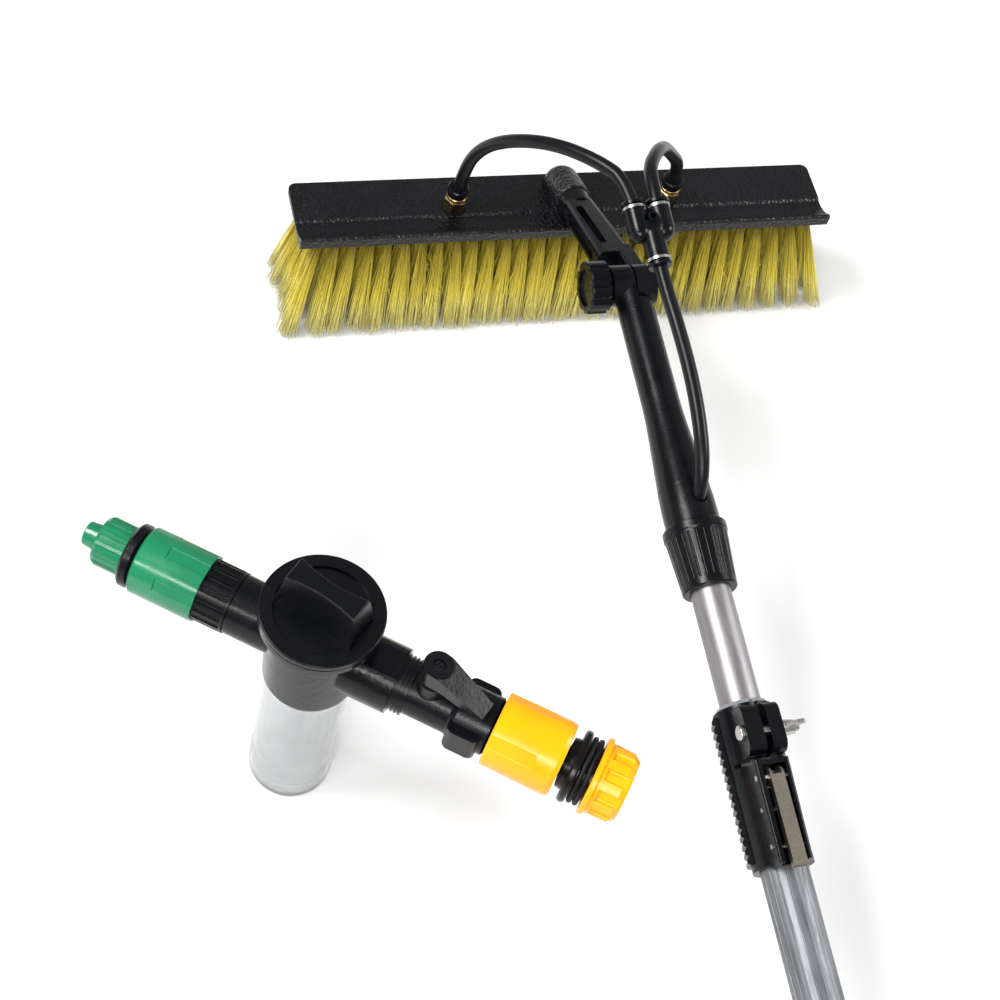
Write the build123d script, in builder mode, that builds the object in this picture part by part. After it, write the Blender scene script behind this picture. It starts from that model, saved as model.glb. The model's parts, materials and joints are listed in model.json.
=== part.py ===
from build123d import *
import os
from math import cos, pi, radians, sin, sqrt, tan

os.makedirs("parts", exist_ok=True)

# Window cleaning pole system, laid out as it is stored on a floor: the brush stands on its bristles,
# the pole slopes down from its hinge to its grip, and the soap dispenser stands on its bottle beside
# the pole. Millimetres, +Z up, X along the brush, +Y from the grip towards the brush.

# ---- driving dimensions ----

# Brush
brush_length = 355.0
face_length = 351.0
face_height = 82.5  # top face of the block above the floor
face_depth = 29.0  # from the gutter to the back edge
lip_reach = 21.5  # from the face's front edge to the front of the lip
lip_top = 87.5
lip_thickness = 8.8
block_bottom = 72.0
block_inset = 6.5  # the underside stands back from the lip and the ends
bristle_flare = 12.0  # how far the tips spread to the front and the back
bristle_end_flare = 20.5  # and at the two ends
fitting_x = (-75.0, 69.0)
fitting_y = 4.2
hose_radius = 4.1

# Hinge and arm
pivot_y = -106.5
pivot_height = 135.0
arm_slope = 21.8  # the arm drops from the hinge to the block, degrees
mouth_distance = 108.0  # hinge to the mouth of the block's socket
arm_radius = 9.5
ear_radius = 12.3
ear_width = 12.8
washer_half = 0.5
hinge_bolt_radius = 4.0

# Pole, measured along its axis from the hinge
pole_slope = 6.24  # degrees
collar_start = 160.0
collar_end = 198.0
clamp_start = 267.5
clamp_end = 353.0
outer_tube_start = 286.0
inner_tube_start = 163.0
inner_tube_end = 930.0
inner_tube_radius = 11.25
inner_tube_bore = 10.05
outer_tube_radius = 12.6
outer_tube_bore = 11.6
grip_radius = 16.0
grip_length = 120.0
running = 0.06  # radial clearance of a running fit

# Soap dispenser
dispenser_x = -224.6
dispenser_y = -321.0
pipe_height = 138.9
pipe_yaw = -35.9  # degrees about +Z
knob_yaw = -8.0  # the lid's bar against the pipe
lever_yaw = -10.0  # the valve lever against the pipe
tip_end = -128.0  # along the pipe from the bottle's axis
nut_end = 170.0
bottle_radius = 22.0
head_radius = 25.3
flange_radius = 31.0
valve_x = 62.0
ball_radius = 9.0

# The origin is the middle of the laid-out set, on the floor.
centre_x = -71.093
centre_y = -582.612


def spot(x, y, z):
    """A point of the layout, moved so that the set's middle is the origin."""
    return Vector(x - centre_x, y - centre_y, z)


# ---- shared planes and axes ----

along_x = Vector(1, 0, 0)
up = Vector(0, 0, 1)

pivot = spot(0, pivot_y, pivot_height)
pole_direction = Vector(0, -cos(radians(pole_slope)), -sin(radians(pole_slope)))
pole_up = Vector(0, -sin(radians(pole_slope)), cos(radians(pole_slope)))
arm_direction = Vector(0, cos(radians(arm_slope)), -sin(radians(arm_slope)))
pole_axis = Axis(pivot, pole_direction)
arm_axis = Axis(pivot, arm_direction)
# Side planes: local x runs along the axis, local y is a radius.
pole_side = Plane(origin=pivot, x_dir=pole_direction, z_dir=pole_direction.cross(pole_up))
arm_side = Plane(origin=pivot, x_dir=arm_direction, z_dir=-along_x)
grip_end = (pivot_height - grip_radius * cos(radians(pole_slope))) / sin(radians(pole_slope))

pipe_direction = Vector(cos(radians(pipe_yaw)), sin(radians(pipe_yaw)), 0)
pipe_origin = spot(dispenser_x, dispenser_y, pipe_height)
pipe_axis = Axis(pipe_origin, pipe_direction)
bottle_axis = Axis(pipe_origin, up)
pipe_side = Plane(origin=pipe_origin, x_dir=pipe_direction, z_dir=pipe_direction.cross(up))


def pole_plane(distance):
    """Across the pole: local x is +X and local y is the pole's upper side."""
    return Plane(origin=pivot + pole_direction * distance, x_dir=along_x, z_dir=pole_direction)


def arm_plane(distance):
    """Across the arm: local x is +X."""
    return Plane(origin=pivot + arm_direction * distance, x_dir=along_x, z_dir=arm_direction)


def hinge_plane(x):
    """Across the hinge axis, looking along +X."""
    return Plane(origin=pivot + along_x * x, x_dir=(0, 1, 0), z_dir=along_x)


def clamp_plane(distance, height, x=0.0):
    """Across the clamp's cross holes, at a distance along the pole and a height above its axis.

    Local x runs along the pole and local y points down."""
    origin = pivot + pole_direction * distance + pole_up * height + along_x * x
    return Plane(origin=origin, x_dir=pole_direction, z_dir=along_x)


def pipe_plane(distance):
    """Across the dispenser's pipe: local y is up."""
    return Plane(
        origin=pipe_origin + pipe_direction * distance, x_dir=up.cross(pipe_direction), z_dir=pipe_direction
    )


def deck(x, height, turn=0.0):
    """A level plane over the pipe at x along it: local x runs along the pipe."""
    origin = pipe_origin + pipe_direction * x + up * height
    return Plane(origin=origin, x_dir=pipe_direction, z_dir=up).rotated((0, 0, turn))


def save(builder, name):
    """Labels a finished piece and writes its file."""
    builder.part.label = name
    export_step(builder.part, "parts/" + name + ".step")


# ---- brush ----

# The web under the arm's socket, which widens towards the lip.
with BuildPart() as socket_web:
    with BuildSketch(Plane(origin=spot(0, 0, 78), z_dir=(0, 0, 1))):
        with BuildLine():
            Polyline((-20, -19), (20, -19), (15, -8), (11, 12), (-11, 12), (-15, -8), close=True)
        make_face()
    extrude(amount=30)
    with BuildSketch(Plane(origin=spot(-30, 0, 0), x_dir=(0, 1, 0), z_dir=(1, 0, 0))):
        with BuildLine():
            Polyline((-19, 86.5), (-9.5, 89.5), (6, 92), (12, 84), (12, 80), (-19, 80), close=True)
        make_face()
    extrude(amount=60, mode=Mode.INTERSECT)

block_end = Plane(origin=spot(-brush_length / 2, 0, 0), x_dir=(0, 1, 0), z_dir=(1, 0, 0))
lip_bottom = lip_top - lip_thickness
gutter_low = 81.3
with BuildPart() as brush_block:
    with BuildSketch(block_end):
        with BuildLine():
            Polyline(
                (-2.5, gutter_low),
                (-0.8, face_height),
                (face_depth, face_height + 0.6),
                (face_depth, block_bottom),
                (-lip_reach + block_inset, block_bottom),
                (-lip_reach + block_inset, lip_bottom),
                (-lip_reach, lip_bottom),
                (-lip_reach, lip_top),
                (-lip_reach + 2.2, lip_top),
            )
            ThreePointArc((-lip_reach + 2.2, lip_top), (-12.5, 82.9), (-2.5, gutter_low))
        make_face()
    extrude(amount=brush_length)
    # The underside stands back from both ends.
    for side in (-1, 1):
        with Locations(spot(side * (brush_length - block_inset) / 2, 0, (block_bottom + lip_bottom) / 2)):
            Box(block_inset, 90, lip_bottom - block_bottom, mode=Mode.SUBTRACT)
    upright = brush_block.edges().filter_by(Axis.Z)
    fillet(upright.group_by(Axis.Y)[-1], radius=5)
    fillet(brush_block.edges().filter_by(Axis.X).group_by(Axis.Y)[0], radius=1.6)
    # The socket for the arm: a domed boss with a web down to the gutter.
    with BuildSketch(arm_side):
        with BuildLine():
            Polyline(
                (mouth_distance, 0),
                (mouth_distance, 11.0),
                (mouth_distance + 1.0, 11.8),
                (mouth_distance + 28, 11.8),
            )
            ThreePointArc(
                (mouth_distance + 28, 11.8), (mouth_distance + 34.5, 8.3), (mouth_distance + 37, 0)
            )
            Line((mouth_distance + 37, 0), (mouth_distance, 0))
        make_face()
    revolve(axis=arm_axis)
    add(socket_web.part)
    # The mouth is open towards the arm.
    with BuildSketch(arm_plane(mouth_distance)):
        Circle(12.4)
    extrude(amount=-24, mode=Mode.SUBTRACT)
    # The bore for the arm's plug, the water ways and the seats for the two fittings.
    with BuildSketch(arm_plane(mouth_distance - 1)):
        Circle(arm_radius + running)
    extrude(amount=26, mode=Mode.SUBTRACT)
    for x in fitting_x:
        with BuildSketch(Plane(origin=spot(x, fitting_y, block_bottom - 1), z_dir=(0, 0, 1))):
            Circle(4.85)
        extrude(amount=20, mode=Mode.SUBTRACT)
save(brush_block, "brush_block")

# The tufts stand as one tapered mass, wider at the tips than at the roots.
root_gap = 0.3
tuft_length = brush_length - 2 * block_inset - 4
tuft_depth = lip_reach - block_inset + face_depth - 4
tuft_y = (face_depth - lip_reach + block_inset) / 2
with BuildPart() as bristles:
    with BuildSketch(Plane(origin=spot(0, tuft_y - 3, 0), z_dir=(0, 0, 1))):
        RectangleRounded(tuft_length + 2 * bristle_end_flare, tuft_depth + 2 * bristle_flare, 6)
    with BuildSketch(Plane(origin=spot(0, tuft_y, block_bottom - root_gap), z_dir=(0, 0, 1))):
        RectangleRounded(tuft_length, tuft_depth, 4)
    loft()
    # Room for the jets between the tufts.
    for x in fitting_x:
        with BuildSketch(Plane(origin=spot(x, fitting_y, block_bottom - 16), z_dir=(0, 0, 1))):
            Circle(6)
        extrude(amount=20, mode=Mode.SUBTRACT)
save(bristles, "bristles")

# ---- water fittings on the block ----

for side_name, x in zip(("left", "right"), fitting_x):
    fitting_origin = spot(x, fitting_y, face_height)
    fitting_axis = Axis(fitting_origin, up)
    fitting_side = Plane(origin=fitting_origin, x_dir=(1, 0, 0), z_dir=(0, -1, 0))

    with BuildPart() as fitting_washer:
        with BuildSketch(Plane(origin=fitting_origin + up * 0.35, z_dir=(0, 0, 1))):
            Circle(7.6)
            Circle(4.9, mode=Mode.SUBTRACT)
        extrude(amount=1.2)
    save(fitting_washer, "fitting_washer_" + side_name)

    with BuildPart() as fitting_body:
        with BuildSketch(Plane(origin=fitting_origin + up * 1.6, z_dir=(0, 0, 1))):
            RegularPolygon(7.4, 6)
        extrude(amount=8.8)
        chamfer(fitting_body.edges().group_by(Axis.Z)[-1], 0.6)
        with BuildSketch(fitting_side):
            with BuildLine():
                Polyline(
                    (0, -9.5), (4.8, -9.5), (4.8, 9), (6.0, 10.2), (6.0, 11.2), (6.7, 11.4), (6.7, 12.8), (6.3, 13.2),
                    (0, 13.2), close=True,
                )
            make_face()
        revolve(axis=fitting_axis)
        with BuildSketch(fitting_side):
            with BuildLine():
                Polyline(
                    (0, -9.6), (2.6, -9.6), (2.6, 4.5), (4.2, 4.5), (4.2, 10.4), (5.3, 10.4), (5.3, 14), (0, 14),
                    close=True,
                )
            make_face()
        revolve(axis=fitting_axis, mode=Mode.SUBTRACT)
    save(fitting_body, "fitting_body_" + side_name)

    # The collar is pressed 1 mm into the fitting to let the hose go.
    with BuildPart() as fitting_collar:
        with BuildSketch(fitting_side):
            with BuildLine():
                Polyline(
                    (4.18, 11.6), (5.2, 11.6), (5.2, 14.4), (6.7, 14.4), (6.7, 18.6), (6.2, 19.2), (4.18, 19.2),
                    close=True,
                )
            make_face()
        revolve(axis=fitting_axis)
    save(fitting_collar, "fitting_collar_" + side_name)

    with BuildPart() as spray_jet:
        with BuildSketch(fitting_side):
            with BuildLine():
                Polyline((1.0, -24.5), (3.4, -24.5), (4.6, -22.5), (4.6, -9.8), (1.0, -9.8), close=True)
            make_face()
        revolve(axis=fitting_axis)
    save(spray_jet, "spray_jet_" + side_name)

# ---- arm and hinge ----

half_lap = washer_half + 0.15
with BuildPart() as socket_arm:
    with BuildSketch(arm_side):
        with BuildLine():
            Polyline(
                (96, 0), (96, 9.3), (mouth_distance - 0.6, 10.6), (mouth_distance - 0.6, arm_radius),
                (mouth_distance + 23, arm_radius), (mouth_distance + 24.5, 8), (mouth_distance + 24.5, 0),
                close=True,
            )
        make_face()
    revolve(axis=arm_axis)
    # The flat-sided beam widens from the collar to the hinge.
    with BuildSketch(arm_plane(98)):
        RectangleRounded(19.5, 16.5, 5.5)
    with BuildSketch(arm_plane(26)):
        RectangleRounded(23, 18.5, 5.0)
    loft()
    # Half-lap ear on the right-hand side of the hinge.
    with BuildSketch(hinge_plane(half_lap)):
        Circle(ear_radius)
    extrude(amount=ear_width)
    with BuildSketch(arm_plane(0)):
        with Locations((half_lap + 5.4, 0)):
            RectangleRounded(10.8, 18.5, 2.0)
    extrude(amount=34)
    # Long slots in the upper and the left side, and the hinge bore with a seat for the bolt's head.
    arm_middle = pivot + arm_direction * 62
    with BuildSketch(Plane(origin=arm_middle, x_dir=arm_direction, z_dir=arm_direction.cross(along_x))):
        with Locations((0, -4.8)):
            SlotOverall(50, 4.6)
    extrude(amount=12, mode=Mode.SUBTRACT, both=True)
    with Locations(Plane(origin=arm_middle, x_dir=along_x, z_dir=arm_direction)):
        Box(12, 9.0, 48, mode=Mode.ADD)
    with BuildSketch(Plane(origin=arm_middle - along_x * 8.2, x_dir=arm_direction, z_dir=-along_x)):
        SlotOverall(52, 5.5)
    extrude(amount=6, mode=Mode.SUBTRACT)
    with BuildSketch(hinge_plane(half_lap - 1)):
        Circle(hinge_bolt_radius + running)
    extrude(amount=20, mode=Mode.SUBTRACT)
    with BuildSketch(hinge_plane(half_lap + ear_width - 4)):
        Circle(7.0)
    extrude(amount=6, mode=Mode.SUBTRACT)
save(socket_arm, "socket_arm")

with BuildPart() as hinge_washer:
    with BuildSketch(hinge_plane(-washer_half)):
        Circle(10.5)
        Circle(hinge_bolt_radius + running, mode=Mode.SUBTRACT)
    extrude(amount=2 * washer_half)
save(hinge_washer, "hinge_washer")

with BuildPart() as hinge_bolt:
    with BuildSketch(hinge_plane(-23)):
        Circle(hinge_bolt_radius)
    extrude(amount=23 + half_lap + ear_width - 3.8)
    with BuildSketch(hinge_plane(half_lap + ear_width - 3.9)):
        RegularPolygon(6.5, 6)
    extrude(amount=3.4)
save(hinge_bolt, "hinge_bolt")

with BuildPart() as hinge_knob:
    with BuildSketch(hinge_plane(-16.2)):
        Circle(8.5)
    extrude(amount=2.0)
    with BuildSketch(hinge_plane(-28)):
        Circle(15.5)
        with PolarLocations(17.4, 9):
            Circle(3.4, mode=Mode.SUBTRACT)
    extrude(amount=11.8)
    fillet(hinge_knob.edges().group_by(Axis.X)[0], radius=1.0)
    with BuildSketch(hinge_plane(-28.1)):
        Circle(11)
    extrude(amount=1.8, mode=Mode.SUBTRACT)
    with BuildSketch(hinge_plane(-24)):
        Circle(hinge_bolt_radius + running)
    extrude(amount=20, mode=Mode.SUBTRACT)
save(hinge_knob, "hinge_knob")

# ---- handle, collar nut and inner tube ----

cavity_radius = 9.5
spigot_radius = 13.4
spigot_end = 187.0
hose_hole_x = 2.0
hose_hole_distance = 152.2
hose_entry = Vector(0, -0.287, -0.958)
with BuildPart() as handle:
    with BuildSketch(pole_side):
        with BuildLine():
            Polyline((13.6, 0), (13.6, 10.2), (16, 10.9), (80, 11.1))
            Spline(
                (80, 11.1), (104, 12.3), (132, 14.6), (150, 15.5),
                tangents=((1, 0.01), (1, 0.02)),
            )
            Polyline(
                (150, 15.5), (collar_start + 6.4, 15.5), (collar_start + 6.4, spigot_radius),
                (spigot_end, spigot_radius), (spigot_end, 0), (13.6, 0),
            )
        make_face()
    revolve(axis=pole_axis)
    # A faint ring where the moulded cone ends.
    with BuildSketch(pole_plane(136)):
        Circle(16)
        Circle(14.75, mode=Mode.SUBTRACT)
    extrude(amount=0.8, mode=Mode.SUBTRACT)
    # Half-lap ear on the left-hand side of the hinge, and its root.
    with BuildSketch(hinge_plane(-half_lap - ear_width)):
        Circle(ear_radius)
    extrude(amount=ear_width)
    with BuildSketch(pole_plane(0)):
        Circle(10.8)
        with Locations((-half_lap - 8, 0)):
            Rectangle(16, 30, mode=Mode.INTERSECT)
    extrude(amount=26)
    # The root keeps clear of the arm's ear on the other side.
    with BuildSketch(hinge_plane(half_lap - 2 * half_lap)):
        Circle(ear_radius + 1.2)
    extrude(amount=20, mode=Mode.SUBTRACT)
    with BuildSketch(hinge_plane(-30)):
        Circle(hinge_bolt_radius + running)
    extrude(amount=40, mode=Mode.SUBTRACT)
    # The cavity that the hose enters, and the bore for the inner tube.
    with BuildSketch(pole_plane(126)):
        Circle(cavity_radius)
    extrude(amount=spigot_end - 126 + 1, mode=Mode.SUBTRACT)
    with BuildSketch(pole_plane(inner_tube_start - 0.5)):
        Circle(inner_tube_radius + 0.08)
    extrude(amount=40, mode=Mode.SUBTRACT)
    hole_centre = pivot + pole_direction * hose_hole_distance + along_x * hose_hole_x
    with BuildSketch(Plane(origin=hole_centre - hose_entry * 24, z_dir=hose_entry)):
        Circle(hose_radius + 0.5)
    extrude(amount=24, mode=Mode.SUBTRACT)
save(handle, "handle")

with BuildPart() as collar_nut:
    with BuildSketch(pole_side):
        with BuildLine():
            Polyline(
                (collar_start, 15.8), (collar_start, 17.6), (collar_start + 0.5, 18.1), (collar_start + 4.5, 18.1),
                (collar_start + 5.5, 17.5), (collar_end - 5, 15.6), (collar_end - 0.8, 15.4), (collar_end, 14.8),
                (collar_end, inner_tube_radius + 0.35), (collar_end - 2, inner_tube_radius + 0.35),
                (collar_end - 2, 13.75), (collar_start + 6.8, 13.75), (collar_start + 6.8, 15.8), close=True,
            )
        make_face()
    revolve(axis=pole_axis)
    rib_count = 26
    rib_slant = 1.9 / 27.5
    groove_planes = []
    for index in range(rib_count):
        angle = 2 * pi * index / rib_count
        outward = along_x * cos(angle) + pole_up * sin(angle)
        groove_start = pivot + pole_direction * (collar_start + 6.5) + outward * 17.75
        groove_planes.append(Plane(origin=groove_start, z_dir=pole_direction - outward * rib_slant))
    with BuildSketch(*groove_planes):
        Circle(0.85)
    extrude(amount=27, mode=Mode.SUBTRACT)
save(collar_nut, "collar_nut")

with BuildPart() as compression_ring:
    with BuildSketch(pole_side):
        with BuildLine():
            Polyline(
                (spigot_end + 0.3, inner_tube_radius + 0.08), (spigot_end + 0.3, 13.1), (collar_end - 4, 13.4),
                (collar_end - 2.4, 12.6), (collar_end - 2.4, inner_tube_radius + 0.08), close=True,
            )
        make_face()
    revolve(axis=pole_axis)
    with BuildSketch(pole_plane(spigot_end)):
        with Locations((0, -12.3)):
            Rectangle(1.6, 4)
    extrude(amount=12, mode=Mode.SUBTRACT)
save(compression_ring, "compression_ring")

with BuildPart() as inner_tube:
    with BuildSketch(pole_plane(inner_tube_start)):
        Circle(inner_tube_radius)
        Circle(inner_tube_bore, mode=Mode.SUBTRACT)
    extrude(amount=inner_tube_end - inner_tube_start)
save(inner_tube, "inner_tube")

with BuildPart() as tube_guide:
    with BuildSketch(pole_side):
        with BuildLine():
            Polyline(
                (inner_tube_end - 25, 6), (inner_tube_end - 25, 9.7), (inner_tube_end + 0.2, 9.97),
                (inner_tube_end + 0.2, outer_tube_bore - running), (inner_tube_end + 12, outer_tube_bore - running),
                (inner_tube_end + 14, 10.5), (inner_tube_end + 14, 6), close=True,
            )
        make_face()
    revolve(axis=pole_axis)
save(tube_guide, "tube_guide")

# ---- outer tube, clamp and grip ----

with BuildPart() as outer_tube:
    with BuildSketch(pole_plane(outer_tube_start)):
        Circle(outer_tube_radius)
        with PolarLocations(outer_tube_radius + 0.25, 18, start_angle=10):
            Circle(0.6, mode=Mode.SUBTRACT)
        Circle(outer_tube_bore, mode=Mode.SUBTRACT)
    extrude(amount=grip_end - 6 - outer_tube_start)
save(outer_tube, "outer_tube")

sleeve_radius = 16.2
ear_start, ear_end = 270.5, 297.5
ear_left, ear_right = -11.6, 9.6  # the clamp turns a little to the left of the pole's top
box_left, box_right = -11.2, 8.2
channel_left, channel_right = -7.6, 5.2
box_start = 301.5
bolt_distance, bolt_height = 285.0, 19.5
pin_distance, pin_height = 310.0, 20.5
bolt_radius = 2.5
pin_radius = 1.5
rivet_places = ((326.0, 17.2), (345.0, 17.2))
spine_angle = radians(197)
spine_out = along_x * cos(spine_angle) + pole_up * sin(spine_angle)
tooth_count = 17
tooth_pitch = (clamp_end - clamp_start - 6) / tooth_count
with BuildPart() as clamp_body:
    with BuildSketch(pole_plane(clamp_start)):
        Circle(sleeve_radius)
    extrude(amount=clamp_end - clamp_start)
    # The grip spine: a row of low saw teeth down the left-hand side.
    with BuildSketch(Plane(origin=pivot, x_dir=pole_direction, z_dir=pole_direction.cross(spine_out))):
        with BuildLine():
            teeth = [(clamp_start + 2, 10)]
            for index in range(tooth_count):
                start = clamp_start + 2 + index * tooth_pitch
                teeth += [(start, sleeve_radius + 0.3), (start + 0.45 * tooth_pitch, sleeve_radius + 1.7)]
                teeth.append((start + 0.8 * tooth_pitch, sleeve_radius + 1.7))
            teeth += [(clamp_start + 2 + tooth_count * tooth_pitch, sleeve_radius + 0.3)]
            teeth.append((clamp_start + 2 + tooth_count * tooth_pitch, 10))
            Polyline(*teeth, close=True)
        make_face()
    extrude(amount=6.5, both=True)
    # The ears that the bolt draws together.
    with BuildSketch(clamp_plane((ear_start + ear_end) / 2, 14, ear_left)):
        RectangleRounded(ear_end - ear_start, 22, 6)
    extrude(amount=ear_right - ear_left)
    # The channel that the lever closes into.
    with BuildSketch(pole_plane(box_start)):
        with Locations(((box_left + box_right) / 2, 16.5)):
            RectangleRounded(box_right - box_left, 16, 1.5)
    with BuildSketch(pole_plane(clamp_end + 1.5)):
        with Locations(((box_left + box_right) / 2, 15.5)):
            RectangleRounded(box_right - box_left - 1, 14, 1.5)
    loft()
    with BuildSketch(clamp_plane((pin_distance - 5.8 + clamp_end + 4) / 2, 15.3 + 10, channel_left)):
        Rectangle(clamp_end + 4 - pin_distance + 5.8, 20)
    extrude(amount=channel_right - channel_left, mode=Mode.SUBTRACT)
    # Bores: the liner's seat, the outer tube, the saw cut between the ears and the slit below them.
    with BuildSketch(pole_plane(clamp_start - 1)):
        Circle(13.3)
    extrude(amount=outer_tube_start - clamp_start + 1, mode=Mode.SUBTRACT)
    with BuildSketch(pole_plane(outer_tube_start - 1)):
        Circle(outer_tube_radius + 0.05)
    extrude(amount=80, mode=Mode.SUBTRACT)
    with BuildSketch(clamp_plane((clamp_start + ear_end) / 2 + 1, 18, -1.9)):
        Rectangle(ear_end - clamp_start + 6, 20)
    extrude(amount=3.6, mode=Mode.SUBTRACT)
    with BuildSketch(clamp_plane(ear_end + 1.5, 18, -20)):
        Rectangle(2.2, 24)
    extrude(amount=40, mode=Mode.SUBTRACT)
    # The pad's window and the cross holes.
    with BuildSketch(pole_plane(pin_distance - 4.4)):
        with Locations(((channel_left + channel_right) / 2, 14)):
            Rectangle(6.8, 4)
    extrude(amount=8.8, mode=Mode.SUBTRACT)
    with BuildSketch(clamp_plane(bolt_distance, bolt_height, -20)):
        Circle(bolt_radius + 0.15)
    extrude(amount=40, mode=Mode.SUBTRACT)
    with BuildSketch(clamp_plane(pin_distance, pin_height, -20)):
        Circle(pin_radius + 0.03)
    extrude(amount=40, mode=Mode.SUBTRACT)
    for place in rivet_places:
        with BuildSketch(clamp_plane(place[0], place[1], -20)):
            Circle(1.3)
        extrude(amount=40, mode=Mode.SUBTRACT)
save(clamp_body, "clamp_body")

with BuildPart() as clamp_liner:
    with BuildSketch(pole_side):
        with BuildLine():
            Polyline(
                (clamp_start - 2.6, inner_tube_radius + running), (clamp_start - 2.6, 13.6),
                (clamp_start - 0.1, 14.4), (clamp_start - 0.1, 13.2), (outer_tube_start - 0.3, 13.2),
                (outer_tube_start - 0.3, inner_tube_radius + running), close=True,
            )
        make_face()
    revolve(axis=pole_axis)
    with BuildSketch(clamp_plane(clamp_start + 10, 12, -1)):
        Rectangle(40, 6)
    extrude(amount=2, mode=Mode.SUBTRACT)
save(clamp_liner, "clamp_liner")

with BuildPart() as clamp_bolt:
    with BuildSketch(clamp_plane(bolt_distance, bolt_height, ear_left - 2.6)):
        Circle(4.2)
    extrude(amount=2.4)
    fillet(clamp_bolt.edges().group_by(Axis.X)[0], radius=1.2)
    with BuildSketch(clamp_plane(bolt_distance, bolt_height, ear_left - 0.4)):
        Circle(bolt_radius)
    extrude(amount=31.5)
save(clamp_bolt, "clamp_bolt")

with BuildPart() as wing_nut:
    with BuildSketch(clamp_plane(bolt_distance, bolt_height, ear_right + 0.3)):
        Circle(4.6)
    with BuildSketch(clamp_plane(bolt_distance, bolt_height, ear_right + 7.5)):
        Circle(3.8)
    loft()
    # Two raised wings, flared away from the clamp.
    wing_plane = clamp_plane(bolt_distance, bolt_height)
    wing_side = Plane(origin=wing_plane.origin, x_dir=along_x, z_dir=pole_direction)
    for side in (-1, 1):
        with BuildSketch(wing_side):
            with BuildLine():
                Polyline(
                    (11.4, side * 2.8), (12.0, side * 4.5), (15.8, side * 8.6), (19.8, side * 9.3),
                    (21.4, side * 7.6), (18.3, side * 4.2), (16.3, side * 2.8), close=True,
                )
            make_face()
        extrude(amount=1.0, both=True)
    with BuildSketch(clamp_plane(bolt_distance, bolt_height, ear_right)):
        Circle(bolt_radius + running)
    extrude(amount=12, mode=Mode.SUBTRACT)
save(wing_nut, "wing_nut")

with BuildPart() as lever_pin:
    with BuildSketch(clamp_plane(pin_distance, pin_height, box_left - 0.1)):
        Circle(pin_radius)
    extrude(amount=box_right - box_left)
save(lever_pin, "lever_pin")

with BuildPart() as clamp_rivets:
    for place in rivet_places:
        with BuildSketch(clamp_plane(place[0], place[1], box_left - 0.1)):
            Circle(1.25)
        extrude(amount=box_right - box_left)
save(clamp_rivets, "clamp_rivets")

with BuildPart() as pressure_pad:
    with BuildSketch(pole_plane(pin_distance - 4.2)):
        with Locations(((channel_left + channel_right) / 2, (outer_tube_radius + 0.1 + 15.2) / 2)):
            Rectangle(6.4, 15.2 - outer_tube_radius - 0.1)
    extrude(amount=8.4)
save(pressure_pad, "pressure_pad")

# A bent steel lever with rolled-over sides; its cam presses the pad when it lies closed.
lever_length = 47.0
lever_width = 7.8
lever_left = (channel_left + channel_right - lever_width) / 2
lever_side = 1.3
with BuildPart() as clamp_lever:
    for x in (lever_left, lever_left + lever_width - lever_side):
        with BuildSketch(clamp_plane(pin_distance, pin_height, x)):
            Circle(5.0)
            with Locations(((lever_length - 1) / 2, -3.0)):
                Rectangle(lever_length + 1, 4.0)
        extrude(amount=lever_side)
    with BuildSketch(clamp_plane(pin_distance, pin_height, lever_left)):
        with Locations(((lever_length - 1) / 2 + 0.5, -4.35)):
            Rectangle(lever_length, 1.3)
        with Locations((lever_length + 0.1, -3.0)):
            Rectangle(1.4, 4.0)
    extrude(amount=lever_width)
    with BuildSketch(clamp_plane(pin_distance, pin_height, -20)):
        Circle(pin_radius + 0.05)
    extrude(amount=40, mode=Mode.SUBTRACT)
save(clamp_lever, "clamp_lever")

grip_start = grip_end - grip_length
with BuildPart() as pole_grip:
    with BuildSketch(pole_side):
        with BuildLine():
            outline = [(grip_start, outer_tube_radius + 0.05), (grip_start, 14.6)]
            groove_count = 9
            groove_pitch = (grip_length - 20) / groove_count
            for index in range(groove_count):
                start = grip_start + 10 + index * groove_pitch
                outline += [(start, grip_radius), (start + 0.6 * groove_pitch, grip_radius)]
                outline += [(start + 0.7 * groove_pitch, 15.0), (start + 0.9 * groove_pitch, 15.0)]
            outline += [(grip_end - 10, grip_radius), (grip_end, grip_radius)]
            outline.append((grip_end, outer_tube_radius + 0.05))
            Polyline(*outline, close=True)
        make_face()
    revolve(axis=pole_axis)
save(pole_grip, "pole_grip")

end_bore_radius = 6.0
with BuildPart() as grip_end_cap:
    with BuildSketch(pole_side):
        with BuildLine():
            Polyline(
                (grip_end - 26, end_bore_radius), (grip_end - 26, 11.3), (grip_end - 5.6, 11.5),
                (grip_end - 5.6, 12.4), (grip_end + 0.3, 12.4), (grip_end + 0.3, 15.2), (grip_end + 4, 14.2),
                (grip_end + 4, end_bore_radius), close=True,
            )
        make_face()
    revolve(axis=pole_axis)
save(grip_end_cap, "grip_end_cap")

# ---- Y splitter over the hinge ----

port_gap = 14.6  # between the axes of the two branch ports
splitter_mouth = spot(-2.8, -94.0, 193.3)  # midway between the branch mouths
splitter_direction = Vector(0.05, -0.962, -0.267).normalized()
splitter_across = (along_x - splitter_direction * along_x.dot(splitter_direction)).normalized()
splitter_length = 38.5
stem_tip = splitter_mouth + splitter_direction * splitter_length


def port_planes(mouth, inward):
    """Two planes of a push-in port: one across its mouth and one through its axis."""
    across = Plane(origin=mouth, x_dir=splitter_across, z_dir=inward)
    side = Plane(origin=mouth, x_dir=inward, z_dir=inward.cross(splitter_across))
    return across, side


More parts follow.
